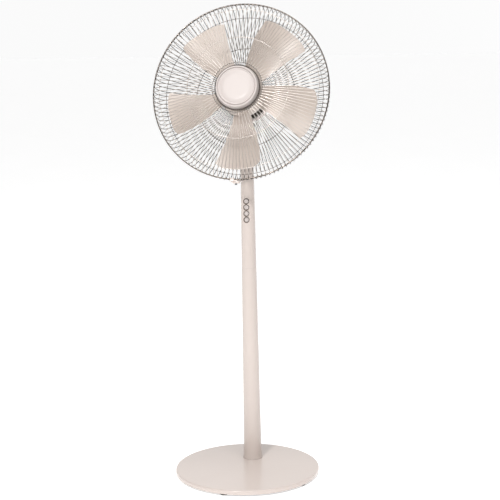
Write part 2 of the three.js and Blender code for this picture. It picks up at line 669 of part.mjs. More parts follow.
add(head, 'rear_guard', rearGuard(), GUARD_WIRE);
add(head, 'guard_nut', guardNut(), GREY_PLASTIC);
add(head, 'front_guard', frontGuard(), GUARD_WIRE);
add(head, 'front_cap', frontCap(), CAP_PLASTIC);
add(head, 'cap_retainer', capRetainer(), GREY_PLASTIC);
add(head, 'guard_clip', guardClip(), GLOSS_SHELL);
add(head, 'clip_screw', clipScrew(), STEEL, [0, RIM_PLANE, -(CLIP_RADIUS + 7.2)]);

// ---------------------------------------------------------------- propeller
const HUB_FRONT = -76;
const HUB_BACK = -26;
const BLADE_THICKNESS = 2.4;
const BLADE_DEPTH = 34;           // along the axis, from the leading to the trailing edge
const BLADE_FLATTENING = 0.35;    // share of that depth lost between the root and the tip
const BLADE_CAMBER = 8;
const CORNER_ROUNDING = 0.1;

// Where a blade's two edges lie round the axis, from the hub (0) to the tip (1). The propeller
// turns clockwise seen from the front, so the leading edge is the clockwise one, at the back.
const trailingAngle = (t) => (20.5 - 7.5 * t ** 1.6) * DEG;
const leadingAngle = (t) => -(22 + 2 * t * t + 3 * (1 - t) ** 6) * DEG;

function blade() {
  const radial = 6;
  const chord = 5;
  const inner = HUB_RADIUS - 1.5;
  const index = [];
  const position = [];
  for (let i = 0; i <= radial; i += 1) {
    const t = i / radial;
    for (let j = 0; j <= chord; j += 1) {
      const s = (2 * j) / chord - 1;
      const roundTip = 1 - CORNER_ROUNDING * Math.abs(s) ** 3 * t ** 4;
      const r = (inner + (BLADE_TIP_RADIUS - inner) * t) * roundTip;
      const angle = leadingAngle(t) + ((s + 1) / 2) * (trailingAngle(t) - leadingAngle(t));
      const along = -s * (BLADE_DEPTH / 2) * (1 - BLADE_FLATTENING * t) + BLADE_CAMBER * (1 - s * s);
      for (const face of [-1, 1]) {
        position.push(r * Math.cos(angle), along + (face * BLADE_THICKNESS) / 2, r * Math.sin(angle));
      }
    }
  }
  const at = (i, j, face) => 2 * (i * (chord + 1) + j) + face;
  const quad = (a, b, c, d) => index.push(a, b, c, a, c, d);
  for (let i = 0; i < radial; i += 1) {
    for (let j = 0; j < chord; j += 1) {
      quad(at(i, j, 0), at(i + 1, j, 0), at(i + 1, j + 1, 0), at(i, j + 1, 0));
      quad(at(i, j, 1), at(i, j + 1, 1), at(i + 1, j + 1, 1), at(i + 1, j, 1));
    }
    quad(at(i, 0, 0), at(i, 0, 1), at(i + 1, 0, 1), at(i + 1, 0, 0));
    quad(at(i, chord, 0), at(i + 1, chord, 0), at(i + 1, chord, 1), at(i, chord, 1));
  }
  for (let j = 0; j < chord; j += 1) {
    quad(at(0, j, 0), at(0, j + 1, 0), at(0, j + 1, 1), at(0, j, 1));
    quad(at(radial, j, 0), at(radial, j, 1), at(radial, j + 1, 1), at(radial, j + 1, 0));
  }
  const geometry = new THREE.BufferGeometry();
  geometry.setAttribute('position', new THREE.Float32BufferAttribute(position, 3));
  geometry.setIndex(index);
  return geometry;
}

function propeller() {
  const shell = 2.4;
  const hub = turned([
    [3.3, HUB_FRONT + 14], [15, HUB_FRONT + 14], [15, HUB_FRONT + 4], [HUB_RADIUS - 9, HUB_FRONT],
    [HUB_RADIUS - 2.5, HUB_FRONT + 2], [HUB_RADIUS, HUB_FRONT + 7], [HUB_RADIUS, HUB_BACK],
    [HUB_RADIUS - shell, HUB_BACK], [HUB_RADIUS - shell, HUB_FRONT + 18], [9, HUB_FRONT + 20],
    [9, HUB_BACK - 4], [3.3, HUB_BACK - 4], [3.3, HUB_FRONT + 14]], 28);
  const shapes = [hub];
  for (let i = 0; i < BLADE_COUNT; i += 1) {
    const turn = BLADE_PHASE + (i * 360) / BLADE_COUNT;
    shapes.push(blade().translate(0, BLADE_MIDDLE, 0).rotateY(-turn * DEG));
  }
  return joined(...shapes);
}

// The nut that holds the propeller on the shaft, screwed on against the turning direction.
function spinnerNut() {
  return turned([[0, HUB_FRONT + 1], [8, HUB_FRONT + 1], [11, HUB_FRONT + 4], [12.4, HUB_FRONT + 13.7],
    [3.3, HUB_FRONT + 13.7], [3.3, HUB_FRONT + 9], [0, HUB_FRONT + 9]], 20);
}

add(head, 'propeller', propeller(), BLADE_PLASTIC);
add(head, 'spinner_nut', spinnerNut(), BLADE_PLASTIC);
add(head, 'drive_pin', crossRod(1.2, -8, 8, 10), STEEL, [0, DRIVE_PIN_PLANE, 0]);
add(head, 'front_bearing', ballBearing(PLATE_BACK - 8.2), STEEL);
add(head, 'rear_bearing', ballBearing(45.4), STEEL);

fan.updateMatrixWorld(true);

export default fan;
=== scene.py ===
"""The looks of a pedestal fan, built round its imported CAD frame.

Metres, +Z up, with the origin at the centre of the base on the floor; the fan blows towards -Y.
The head has a frame of its own: its axis is Y, its front is -Y, and it looks up at rest.
"""

import math

import bmesh
import bpy
import numpy as np
from mathutils import Matrix, Vector


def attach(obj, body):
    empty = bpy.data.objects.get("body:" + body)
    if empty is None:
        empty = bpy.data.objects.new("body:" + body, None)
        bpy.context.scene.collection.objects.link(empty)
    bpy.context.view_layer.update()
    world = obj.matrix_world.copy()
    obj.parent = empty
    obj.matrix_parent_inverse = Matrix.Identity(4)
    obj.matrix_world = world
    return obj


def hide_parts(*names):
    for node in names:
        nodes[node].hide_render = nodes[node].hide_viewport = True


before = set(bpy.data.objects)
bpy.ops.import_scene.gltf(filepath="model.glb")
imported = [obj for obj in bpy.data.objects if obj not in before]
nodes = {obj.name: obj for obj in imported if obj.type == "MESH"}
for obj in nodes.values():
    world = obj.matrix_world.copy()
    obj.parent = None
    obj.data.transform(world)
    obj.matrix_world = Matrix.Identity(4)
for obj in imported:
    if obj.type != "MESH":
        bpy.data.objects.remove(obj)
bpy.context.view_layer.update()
MM = 0.001

# ---------------------------------------------------------------- named sizes, in millimetres
BASE_RADIUS = 167.5
BASE_TOP = 14.5
BASE_UNDERSIDE = 4.2
BASE_WALL = 2.5
FOOT_COUNT = 5
FOOT_RING = 154
FIRST_FOOT_ANGLE = -98
COLUMN_Y = 64
COLUMN_SEAM_Z = 477
COLUMN_TOP = 742
COLUMN_WALL = 2.4
FLARE_RADIUS = 22.7    # of the column where it meets the base
FLARE_TOP = 52
FLANGE_SCREW_COUNT = 3
FLANGE_SCREW_CIRCLE = 19
BUTTON_COUNT = 4
BUTTON_RADIUS = 6
BUTTON_TOP_Z = 635
BUTTON_PITCH = 14.3
BUTTON_STAND_OUT = 2.6
HEAD_HEIGHT = 871
HEAD_TILT = 18
PIVOT_DROP = 60        # from the head's axis down to the tilt pin, square to the axis
GUARD_RADIUS = 201
OUTER_RING = 182
INNER_RING = 115
FRONT_PLANE = -93
RIM_PLANE = -60
FRONT_WIRES = 136
REAR_WIRES = 120
SHORT_WIRE_START = 84  # every second front wire starts this far out
WIRE = 0.8             # radius of a radial wire
RING_WIRE = 0.8        # radius of an inner ring's wire
THIN_RING_WIRE = 0.6   # radius of an outer ring's wire
RIM_WIRE = 1.3         # radius of the rims' wire
CAP_STAND_OUT = 12     # of the cap before the front guard
CLIP_OFFSET = 2.2      # how far the clip's own line lies outside the guards' radius
HUB_RADIUS = 51
BLADE_COUNT = 5
BLADE_TIP_RADIUS = 174.5
BLADE_MIDDLE = -46
BLADE_PHASE = 131
BLADE_HALF_DEPTH = 17  # from a blade's middle to either edge at the root, along the axis
BLADE_CAMBER = 8
BLADE_EDGE_CURL = 6
GRIP_COUNT = 20
FLUTE_COUNT = 10

HEAD = Matrix.Translation((0, COLUMN_Y * MM, HEAD_HEIGHT * MM)) @ Matrix.Rotation(
    math.radians(-HEAD_TILT), 4, "X"
)
COLUMN = Matrix.Translation((0, COLUMN_Y * MM, 0))
ORIGIN = Matrix.Identity(4)


# ---------------------------------------------------------------- materials
def srgb(code):
    """A linear colour from a six-digit hexadecimal one."""
    parts = [int(code[i : i + 2], 16) / 255 for i in (0, 2, 4)]
    return [p / 12.92 if p <= 0.04045 else ((p + 0.055) / 1.055) ** 2.4 for p in parts] + [1]


class Finish:
    """A procedural material: a Principled shader with its colour, roughness and bump from noise."""

    def __init__(self, name, colour, roughness, metallic=0.0):
        self.material = bpy.data.materials.new(name)
        self.material.use_nodes = True
        self.tree = self.material.node_tree
        self.shader = self.tree.nodes["Principled BSDF"]
        self.shader.inputs["Base Color"].default_value = colour
        self.shader.inputs["Roughness"].default_value = roughness
        self.shader.inputs["Metallic"].default_value = metallic
        self.colour = colour
        self.place = self.tree.nodes.new("ShaderNodeTexCoord").outputs["Object"]

    def node(self, kind, **values):
        made = self.tree.nodes.new(kind)
        for key, value in values.items():
            if key in made.inputs:
                made.inputs[key].default_value = value
            else:
                setattr(made, key, value)
        return made

    def link(self, a, b):
        self.tree.links.new(a, b)

    def noise(self, scale, detail, stretch=None):
        """A noise pattern; stretch gives its scale along X, Y and Z."""
        texture = self.node("ShaderNodeTexNoise", Scale=scale, Detail=detail)
        place = self.place
        if stretch:
            mapping = self.node("ShaderNodeMapping", Scale=stretch)
            self.link(place, mapping.inputs["Vector"])
            place = mapping.outputs["Vector"]
        self.link(place, texture.inputs["Vector"])
        return texture.outputs["Fac"]

    def range(self, value, low, high, start, end):
        """Maps a pattern's values from start to end onto low to high."""
        mapped = self.node("ShaderNodeMapRange")
        for key, number in (("From Min", start), ("From Max", end), ("To Min", low), ("To Max", high)):
            mapped.inputs[key].default_value = number
        self.link(value, mapped.inputs["Value"])
        return mapped.outputs["Result"]

    def vary_colour(self, value, other, amount, start=0.3, end=0.7):
        """Goes from the base colour towards another where the pattern is high."""
        mix = self.node("ShaderNodeMix", data_type="RGBA")
        self.link(self.range(value, 0.0, amount, start, end), mix.inputs["Factor"])
        mix.inputs["A"].default_value = self.colour
        mix.inputs["B"].default_value = other
        self.link(mix.outputs["Result"], self.shader.inputs["Base Color"])

    def vary_roughness(self, value, low, high, start=0.3, end=0.7):
        self.link(self.range(value, low, high, start, end), self.shader.inputs["Roughness"])

    def bump(self, value, strength, distance):
        made = self.node("ShaderNodeBump", Strength=strength, Distance=distance)
        self.link(value, made.inputs["Height"])
        self.link(made.outputs["Normal"], self.shader.inputs["Normal"])

    def coat(self, weight, roughness):
        self.shader.inputs["Coat Weight"].default_value = weight
        self.shader.inputs["Coat Roughness"].default_value = roughness


def glossy_plastic(name, colour, tint, roughness, coat):
    """Moulded plastic: faint flow marks, uneven gloss and a very fine orange peel."""
    made = Finish(name, srgb(colour), roughness)
    made.vary_colour(made.noise(9, 4), srgb(tint), 0.5)
    made.vary_roughness(made.noise(14, 2), roughness - 0.02, roughness + 0.03)
    made.bump(made.noise(700, 2), 0.02, 0.00003)
    made.coat(coat, 0.12)
    return made.material


def grained_plastic(name, colour, tint, roughness):
    """Moulded plastic with a fine matt grain."""
    made = Finish(name, srgb(colour), roughness)
    made.vary_colour(made.noise(22, 5), srgb(tint), 0.7)
    made.vary_roughness(made.noise(90, 4), roughness - 0.08, min(roughness + 0.1, 1))
    made.bump(made.noise(1600, 3), 0.35, 0.0003)
    return made.material


def plated_wire(name, colour, tint, roughness=0.3):
    """Plated steel wire with a satin gloss."""
    made = Finish(name, srgb(colour), roughness, 0.95)
    made.vary_colour(made.noise(60, 4), srgb(tint), 0.8)
    made.vary_roughness(made.noise(140, 4), roughness, roughness + 0.12)
    made.bump(made.noise(900, 3), 0.08, 0.0001)
    return made.material


def brushed_steel(name, colour, tint, roughness=0.32):
    """Bare metal with fine lines across Z."""
    made = Finish(name, srgb(colour), roughness, 1.0)
    fine = made.noise(220, 4, stretch=(1, 1, 9))
    made.vary_colour(made.noise(30, 5), srgb(tint), 0.6)
    made.vary_roughness(fine, roughness - 0.1, roughness + 0.15)
    made.bump(fine, 0.1, 0.0002)
    return made.material


def rubber(name):
    made = Finish(name, srgb("191817"), 0.8)
    made.vary_colour(made.noise(60, 5), srgb("26241f"), 0.8)
    made.vary_roughness(made.noise(150, 4), 0.68, 0.95)
    made.bump(made.noise(1500, 3), 0.4, 0.0003)
    return made.material


def circuit_board(name):
    made = Finish(name, srgb("2d5b3a"), 0.45)
    brick = made.node("ShaderNodeTexBrick", Scale=160.0)
    brick.inputs["Mortar Size"].default_value = 0.04
    made.link(made.place, brick.inputs["Vector"])
    made.vary_colour(brick.outputs["Fac"], srgb("b08d4a"), 0.6, 0.2, 0.9)
    made.vary_roughness(made.noise(200, 3), 0.35, 0.6)
    made.bump(brick.outputs["Fac"], 0.2, 0.0002)
    return made.material


def copper_winding(name):
    made = Finish(name, srgb("b06a3c"), 0.35, 0.85)
    wave = made.node("ShaderNodeTexWave", Scale=420.0, Distortion=1.2)
    made.link(made.place, wave.inputs["Vector"])
    made.vary_colour(made.noise(50, 4), srgb("8a4a26"), 0.7)
    made.vary_roughness(wave.outputs["Fac"], 0.25, 0.5, 0.0, 1.0)
    made.bump(wave.outputs["Fac"], 0.5, 0.0003)
    return made.material


LOOKS = {
    "gloss_shell": glossy_plastic("gloss_shell", "c9bdb6", "c4b8b0", 0.24, 0.35),
    "base_plastic": glossy_plastic("base_plastic", "cbbfb8", "c8bcb5", 0.3, 0.15),
    # painted shadow: the dark crescents beside the buttons, for the shadows the buttons cast
    "painted_shadow_plastic": glossy_plastic("painted_shadow_plastic", "6b5f57", "61564f", 0.5, 0.0),
    "blade_plastic": glossy_plastic("blade_plastic", "c2b6ad", "bbafa5", 0.4, 0.05),
    "cap_plastic": glossy_plastic("cap_plastic", "b9b0ac", "b3aaa6", 0.48, 0.05),
    # a darker copy of the shell plastic: painted shade, for the neck in the head's shadow
    "painted_shade_neck_plastic": glossy_plastic("painted_shade_neck_plastic", "aba098", "a2968d", 0.32, 0.2),
    "dark_plastic": grained_plastic("dark_plastic", "2a2624", "1d1a19", 0.6),
    "grey_plastic": grained_plastic("grey_plastic", "8d8a86", "7d7a75", 0.55),
    "guard_wire": plated_wire("guard_wire", "c6beb8", "b6aea8"),
    # a darker, glossier copy of the wire finish: painted shade, for the front rim's dark upper left
    "painted_shade_rim_wire": plated_wire("painted_shade_rim_wire", "6f6761", "635b55", 0.14),
    # a darker copy of the guard wire finish: painted shade for the rear guard, its rim, its centre
    # disc and the rings round the cap
    "painted_shade_wire": plated_wire("painted_shade_wire", "4a4541", "3c3835"),
    "steel": brushed_steel("steel", "9a9c9e", "7f8183"),
    "dark_steel": brushed_steel("dark_steel", "2c2827", "1c1918", 0.5),
    "black_rubber": rubber("black_rubber"),
    "circuit_board": circuit_board("circuit_board"),
    "copper_winding": copper_winding("copper_winding"),
    "bronze": brushed_steel("bronze", "a07a45", "7d5c31", 0.4),
}


# ---------------------------------------------------------------- mesh helpers
def corner(before, point, after, radius, steps=5):
    """A corner of an outline, rounded to about that radius."""
    here = np.array(point, float)
    to_before = np.array(before, float) - here
    to_after = np.array(after, float) - here
    reach = min(radius, 0.48 * np.linalg.norm(to_before), 0.48 * np.linalg.norm(to_after))
    start = here + to_before / np.linalg.norm(to_before) * reach
    end = here + to_after / np.linalg.norm(to_after) * reach
    shares = np.linspace(0, 1, steps + 1)
    return [
        tuple((1 - s) ** 2 * start + 2 * s * (1 - s) * here + s * s * end) for s in shares
    ]


def outline(points, closed=True, steps=5):
    """Points (x, y) or (x, y, rounding) as a smooth list of (x, y)."""
    made = []
    count = len(points)
    for i, point in enumerate(points):
        rounding = point[2] if len(point) > 2 else 0
        ends = not closed and i in (0, count - 1)
        if rounding and not ends:
            made += corner(
                points[i - 1][:2], point[:2], points[(i + 1) % count][:2], rounding, steps
            )
        else:
            made.append(tuple(point[:2]))
    return made


def solid(name, bm, angle=35):
    """A mesh object from a bmesh in metres, shaded smooth up to the angle in degrees."""
    bmesh.ops.remove_doubles(bm, verts=bm.verts, dist=1e-6)
    bmesh.ops.dissolve_degenerate(bm, edges=bm.edges, dist=1e-7)
    bmesh.ops.recalc_face_normals(bm, faces=bm.faces)
    mesh = bpy.data.meshes.new(name)
    bm.to_mesh(mesh)
    bm.free()
    smooth(mesh, angle)
    made = bpy.data.objects.new(name, mesh)
    bpy.context.scene.collection.objects.link(made)
    return made


def smooth(mesh, angle):
    """Soft shading, except across edges sharper than the angle in degrees."""
    mesh.polygons.foreach_set("use_smooth", [True] * len(mesh.polygons))
    mesh.set_sharp_from_angle(angle=math.radians(angle))
    mesh.update()


def from_arrays(points, faces, place=ORIGIN):
    """A bmesh from points in millimetres, put in place."""
    bm = bmesh.new()
    verts = [bm.verts.new(place @ (Vector(p) * MM)) for p in points]
    for face in faces:
        if len(set(face)) == len(face):
            bm.faces.new([verts[i] for i in face])
    return bm


def lathe_arrays(profile, sides, axis):
    """Points and faces of a closed profile (radius, along) turned about Y or Z."""
    points = []
    for radius, along in profile:
        for k in range(sides):
            angle = 2 * math.pi * k / sides
            c, s = radius * math.cos(angle), radius * math.sin(angle)
            points.append((c, along, s) if axis == "Y" else (c, s, along))
    rows = len(profile)
    faces = [
        (
            i * sides + k,
            i * sides + (k + 1) % sides,
            ((i + 1) % rows) * sides + (k + 1) % sides,
            ((i + 1) % rows) * sides + k,
        )
        for i in range(rows)
        for k in range(sides)
        if profile[i][0] > 1e-6 or profile[(i + 1) % rows][0] > 1e-6
    ]
    return points, faces


def lathe(name, profile, axis="Z", place=ORIGIN, sides=96, angle=35):
    """A solid from an outline (radius, along, rounding) turned about Y or Z."""
    points, faces = lathe_arrays(outline(profile), sides, axis)
    return solid(name, from_arrays(points, faces, place), angle)


def shift(x=0, y=0, z=0):
    """A move in millimetres."""
    return Matrix.Translation((x * MM, y * MM, z * MM))


def post(radius, low, high, place, sides, axis="Z"):
    """A round bar to cut or join with."""
    return lathe("cutter", [(0, low), (radius, low), (radius, high), (0, high)], axis, place, sides)


def block(name, size, centre, place, rounding):
    """A box with rounded edges. Sizes in millimetres."""
    bm = bmesh.new()
    bmesh.ops.create_cube(bm, size=1)
    bmesh.ops.transform(bm, matrix=Matrix.Diagonal((*(Vector(size) * MM), 1)), verts=bm.verts)
    bmesh.ops.bevel(
        bm, geom=bm.edges[:], offset=rounding * MM, segments=3, affect="EDGES", profile=0.5
    )
    bmesh.ops.transform(bm, matrix=place @ shift(*centre), verts=bm.verts)
    return solid(name, bm, 40)


def combine(target, tools, how="DIFFERENCE", angle=35):
    """Cuts the tools from the target, or joins them to it, and drops the tools."""
    for tool in tools:
        modifier = target.modifiers.new("combine", "BOOLEAN")
        modifier.operation = how
        modifier.solver = "EXACT"
        modifier.object = tool
        bpy.context.view_layer.update()
        graph = bpy.context.evaluated_depsgraph_get()
        mesh = bpy.data.meshes.new_from_object(target.evaluated_get(graph))
        target.modifiers.clear()
        old = target.data
        target.data = mesh
        bpy.data.meshes.remove(old)
        bpy.data.objects.remove(tool)
    smooth(target.data, angle)


def wires(profile, radius, angles, sides=6):
    """Points and faces of one wire along the profile (radius, along) at each angle, head frame."""
    line = np.array(profile, float)
    step = np.gradient(line, axis=0)
    step /= np.linalg.norm(step, axis=1)[:, None]
    normal = np.stack([-step[:, 1], step[:, 0]], axis=1)
    points, faces = [], []
    for angle in angles:
        outward = np.array([math.cos(angle), 0, math.sin(angle)])
        across = np.array([-math.sin(angle), 0, math.cos(angle)])
        first = len(points)
        for (r, a), (nr, na) in zip(line, normal):
            centre = outward * r + np.array([0, a, 0])
            lift = outward * nr + np.array([0, na, 0])
            for k in range(sides):
                turn = 2 * math.pi * (k + 0.5) / sides
                points.append(
                    tuple(centre + radius * (math.cos(turn) * across + math.sin(turn) * lift))
                )
        rows = len(line)
        for i in range(rows - 1):
            for k in range(sides):
                a, b = first + i * sides + k, first + i * sides + (k + 1) % sides
                faces.append((a, b, b + sides, a + sides))
        faces.append(tuple(first + k for k in range(sides))[::-1])
        faces.append(tuple(first + (rows - 1) * sides + k for k in range(sides)))
    return points, faces


def hoop(radius, along, wire, sides=10):
    """Points and faces of a ring of wire round the head's axis."""
    section = [
        (
            radius + wire * math.cos(2 * math.pi * k / sides),
            along + wire * math.sin(2 * math.pi * k / sides),
        )
        for k in range(sides)
    ]
    return lathe_arrays(section, 160, "Y")


def gather(*shapes):
    """Several sets of points and faces as one."""
    points, faces = [], []
    for more_points, more_faces in shapes:
        first = len(points)
        points += list(more_points)
        faces += [tuple(i + first for i in face) for face in more_faces]
    return points, faces


def piece(made, look, body, *replaced, slot=None):
    """Gives a piece its material, its body and the CAD nodes that it stands for."""
    made.data.materials.clear()
    made.data.materials.append(LOOKS[look])
    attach(made, body)
    if replaced:
        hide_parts(*replaced)


# ---------------------------------------------------------------- base
def column_radius(z):
    """The column tapers evenly, from 21 mm at a height of 60 mm to 15.7 mm at 655 mm."""
    return 21 - (21 - 15.7) / (655 - 60) * (z - 60)


def make_base():
    shell = lathe(
        "base_shell",
        [
            (BASE_RADIUS - BASE_WALL, BASE_UNDERSIDE, 0.5),
            (BASE_RADIUS - 0.2, BASE_UNDERSIDE, 0.5),
            (BASE_RADIUS, BASE_UNDERSIDE + 3),
            (BASE_RADIUS, BASE_TOP - 0.6, 5.2),
            (BASE_RADIUS - 16, BASE_TOP - 0.15, 6),
            (BASE_RADIUS - 60, BASE_TOP),
            (0, BASE_TOP),
            (0, BASE_TOP - BASE_WALL),
            (BASE_RADIUS - 31, BASE_TOP - BASE_WALL),
            (BASE_RADIUS - BASE_WALL, BASE_TOP - 4.1, 3),
        ],
        sides=192,
        angle=30,
    )
    pole_hole = post(13.5, 0, 30, COLUMN, 48)
    inlet = block("cutter", (13, 20, 8.2), (0, BASE_RADIUS - 4, BASE_UNDERSIDE + 3.6), ORIGIN, 1)
    combine(shell, [pole_hole, inlet], angle=30)
    piece(shell, "base_plastic", "stand", "base_cover", slot="gloss_shell")
    for i in range(FOOT_COUNT):
        angle = math.radians(FIRST_FOOT_ANGLE + 360 * i / FOOT_COUNT)
        foot = lathe(
            f"foot_pad_{i + 1}",
            [
                (0, 0.5),
                (2.2, 0.5, 0.3),
                (3, 0, 0.4),
                (9.4, 0, 0.8),
                (10, 3.1, 0.4),
                (3.2, 3.1),
                (3.2, 8.6),
                (0, 8.6),
            ],
            place=shift(FOOT_RING * math.cos(angle), FOOT_RING * math.sin(angle)),
            sides=48,
        )
        piece(foot, "black_rubber", "stand", f"rubber_foot_{i + 1}")


# ---------------------------------------------------------------- column
COLUMN_FOOT = BASE_TOP + 0.3


def sleeve(heights):
    """Points of the column's outside at these heights."""
    return [(column_radius(z), z) for z in heights]


def make_lower_sleeve():
    outside = []
    for t in np.linspace(0, 1, 25):
        z = COLUMN_FOOT + t * (FLARE_TOP - COLUMN_FOOT)
        spread = (FLARE_RADIUS - column_radius(FLARE_TOP)) * (1 - t) ** 5
        outside.append((column_radius(z) + spread, z))
    outside += sleeve(np.linspace(FLARE_TOP + 20, COLUMN_SEAM_Z - 1.0, 18))
    seam = column_radius(COLUMN_SEAM_Z)
    outside.append((seam, COLUMN_SEAM_Z - 0.05, 0.15))
    inside = [
        (seam - COLUMN_WALL, COLUMN_SEAM_Z - 0.05),
        (column_radius(60) - COLUMN_WALL, 60),
        (19, 40),
        (19.4, 24),
        (FLARE_RADIUS - 1, BASE_TOP + 6),
        (FLARE_RADIUS - 1, COLUMN_FOOT),
    ]
    lower = lathe("column_lower_sleeve", outside + inside, place=COLUMN)
    piece(lower, "gloss_shell", "stand", "lower_column")


def make_flange():
    rim = FLARE_RADIUS - 1.3
    flange = lathe(
        "pole_foot_flange",
        [
            (11.3, COLUMN_FOOT),
            (rim, COLUMN_FOOT, 0.3),
            (rim, BASE_TOP + 3.3, 0.8),
            (15.5, BASE_TOP + 3.3, 2),
            (14, BASE_TOP + 26, 0.8),
            (11.3, BASE_TOP + 26, 0.4),
        ],
        place=COLUMN,
    )
    holes = []
    for i in range(FLANGE_SCREW_COUNT):
        angle = math.radians(90 + 360 * i / FLANGE_SCREW_COUNT)
        at = shift(FLANGE_SCREW_CIRCLE * math.cos(angle), FLANGE_SCREW_CIRCLE * math.sin(angle))
        holes.append(post(2.4, 0, 40, COLUMN @ at, 24))
    combine(flange, holes)
    piece(flange, "steel", "stand", "pole_flange")


def make_upper_sleeve():
    low, roof = COLUMN_SEAM_Z + 0.1, COLUMN_TOP - 3
    first, last = 578, 650  # the stretch that carries the buttons has closer rows
    skin = [(column_radius(low) - COLUMN_WALL, low), (column_radius(low), low, 0.15)]
    skin += sleeve(np.linspace(low + 2, first, 8))
    skin += sleeve(np.linspace(first + 1.5, last, 48))
    skin += sleeve(np.linspace(last + 4, roof, 10))
    skin += [
        (column_radius(COLUMN_TOP), COLUMN_TOP, 1.6),
        (9.6, COLUMN_TOP, 0.3),
        (9.6, roof),
        (column_radius(roof) - COLUMN_WALL, roof),
    ]
    upper = lathe("column_upper_sleeve", skin, place=COLUMN)
    places = [COLUMN @ shift(z=button_height(i)) for i in range(BUTTON_COUNT)]
    combine(upper, [post(BUTTON_RADIUS + 0.4, -30, -5, place, 48, "Y") for place in places])
    piece(upper, "gloss_shell", "stand", "upper_column")


# ---------------------------------------------------------------- buttons
def button_height(i):
    return BUTTON_TOP_Z - BUTTON_PITCH * i


def make_button(i):
    face = -(column_radius(BUTTON_TOP_Z) + BUTTON_STAND_OUT)
    flange = -9.9
    made = lathe(
        f"push_button_{i + 1}",
        [
            (0, face + 0.55),
            (2.6, face + 0.35),
            (3.9, face, 1.0),
            (BUTTON_RADIUS - 0.9, face + 0.7, 1.2),
            (BUTTON_RADIUS - 0.7, flange),
            (6.7, flange, 0.1),
            (6.7, flange + 1.1, 0.1),
            (1.4, flange + 1.1),
            (1.4, flange + 4.3),
            (0, flange + 4.3),
        ],
        axis="Y",
        place=COLUMN @ shift(z=button_height(i)),
        sides=48,
    )
    name = f"button_{i + 1}"
    piece(made, "cap_plastic", name, name)


def make_painted_button_shadow(i):
    """A dark surround of painted shadow, standing for the shadow the button casts on the column: it is
    set off to the button's lower left.
    """
    place = COLUMN @ shift(z=button_height(i))
    radius = BUTTON_RADIUS + 1.1
    painted_shadow = lathe(
        f"button_painted_shadow_{i + 1}",
        [(0, -24), (radius, -24), (radius, -11), (0, -11)],
        axis="Y",
        place=place @ shift(x=-1.0, z=-1.1),
        sides=64,
    )
    skin = column_radius(button_height(i)) + 0.3
    combine(painted_shadow, [post(skin, -20, 20, place, 96)], "INTERSECT")
    combine(painted_shadow, [post(BUTTON_RADIUS - 0.3, -30, -5, place, 48, "Y")])
    piece(painted_shadow, "painted_shadow_plastic", "stand", slot="dark_plastic")


# ---------------------------------------------------------------- neck
PIVOT_HEIGHT = HEAD_HEIGHT - PIVOT_DROP / math.cos(math.radians(HEAD_TILT))


def make_neck():
    """The neck turns in the column's top and carries the tilt pin across its fork."""
    low = COLUMN_TOP + 1.8
    pin_line = COLUMN @ shift(z=PIVOT_HEIGHT) @ Matrix.Rotation(math.radians(90), 4, "Z")
    stem = lathe(
        "neck_stem",
        [
            (0, low),
            (column_radius(COLUMN_TOP), low, 1.6),
            (15.2, PIVOT_HEIGHT - 24, 6),
            (14.6, PIVOT_HEIGHT - 10, 3),
            (10.6, PIVOT_HEIGHT - 7, 2),
            (0, PIVOT_HEIGHT - 7),
        ],
        place=COLUMN,
        sides=72,
    )
    eyes = lathe(
        "cutter",
        [(0, -15), (10.6, -15, 1.2), (10.6, 15, 1.2), (0, 15)],
        axis="Y",
        place=pin_line,
        sides=64,
    )
    combine(stem, [eyes], "UNION")
    slot = block("cutter", (18, 60, 24), (0, COLUMN_Y, PIVOT_HEIGHT), ORIGIN, 1.5)
    pin_hole = post(3.3, -30, 30, pin_line, 32, "Y")
    socket = post(6.5, low - 5, COLUMN_TOP + 12.4, COLUMN, 48)
    combine(stem, [slot, pin_hole, socket])
    # the neck gets the darker plastic: painted shade under the head
    piece(stem, "painted_shade_neck_plastic", "neck", "neck_post", slot="gloss_shell")


# ---------------------------------------------------------------- guards
def bent_line(points, spacing=6.0):
    """A wire's line through its rounded corners, with points close enough to bend smoothly."""
    line = outline(points, closed=False, steps=8)
    made = [line[0]]
    for a, b in zip(line, line[1:]):
        gap = math.dist(a, b)
        count = max(1, int(gap / spacing)) if gap > 12 else 1
        for k in range(1, count + 1):
            made.append((a[0] + (b[0] - a[0]) * k / count, a[1] + (b[1] - a[1]) * k / count))
    return [p for i, p in enumerate(made) if i == 0 or math.dist(p, made[i - 1]) > 0.3]


def guard_piece(name, shapes, look, *replaced):
    made = solid(name, from_arrays(*gather(*shapes), HEAD), 80)
    piece(made, look, "head", *replaced, slot="guard_wire")


def make_front_guard():
    front_line = bent_line(
        [
            (50.8, FRONT_PLANE - 1.6),
            (56.5, FRONT_PLANE - 4.2, 4),
            (80, FRONT_PLANE - 3.2, 20),
            (INNER_RING, FRONT_PLANE - 1.2, 20),
            (OUTER_RING, FRONT_PLANE + 9.2, 14),
            (GUARD_RADIUS - 7, FRONT_PLANE + 16.5, 8),
            (GUARD_RADIUS - 1.6, FRONT_PLANE + 25, 6),
            (GUARD_RADIUS - 1, RIM_PLANE - 1.6),
        ]
    )
    short_line = [point for point in front_line if point[0] > SHORT_WIRE_START]
    angles = [2 * math.pi * (i + 0.5) / FRONT_WIRES for i in range(FRONT_WIRES)]
    shapes = [wires(front_line, WIRE, angles[::2]), wires(short_line, WIRE, angles[1::2])]
    shapes.append(hoop(INNER_RING, FRONT_PLANE + 0.7, RING_WIRE))
    shapes.append(hoop(OUTER_RING, FRONT_PLANE + 11, THIN_RING_WIRE))
    guard_piece("front_guard_wires", shapes, "guard_wire", "front_guard")
    rim = hoop(GUARD_RADIUS + 0.1, RIM_PLANE - 1.5, RIM_WIRE, sides=14)
    # the front rim gets a darkened copy of the wire finish: painted shade
    guard_piece("front_rim", [rim], "painted_shade_rim_wire")
    collar = [hoop(50.8, FRONT_PLANE + 0.4, 1.1, sides=14), hoop(57, FRONT_PLANE - 2, 0.7)]
    # the rings round the cap's base get the darkened wire finish: painted shade round the cap
    guard_piece("cap_collar_rings", collar, "painted_shade_wire")


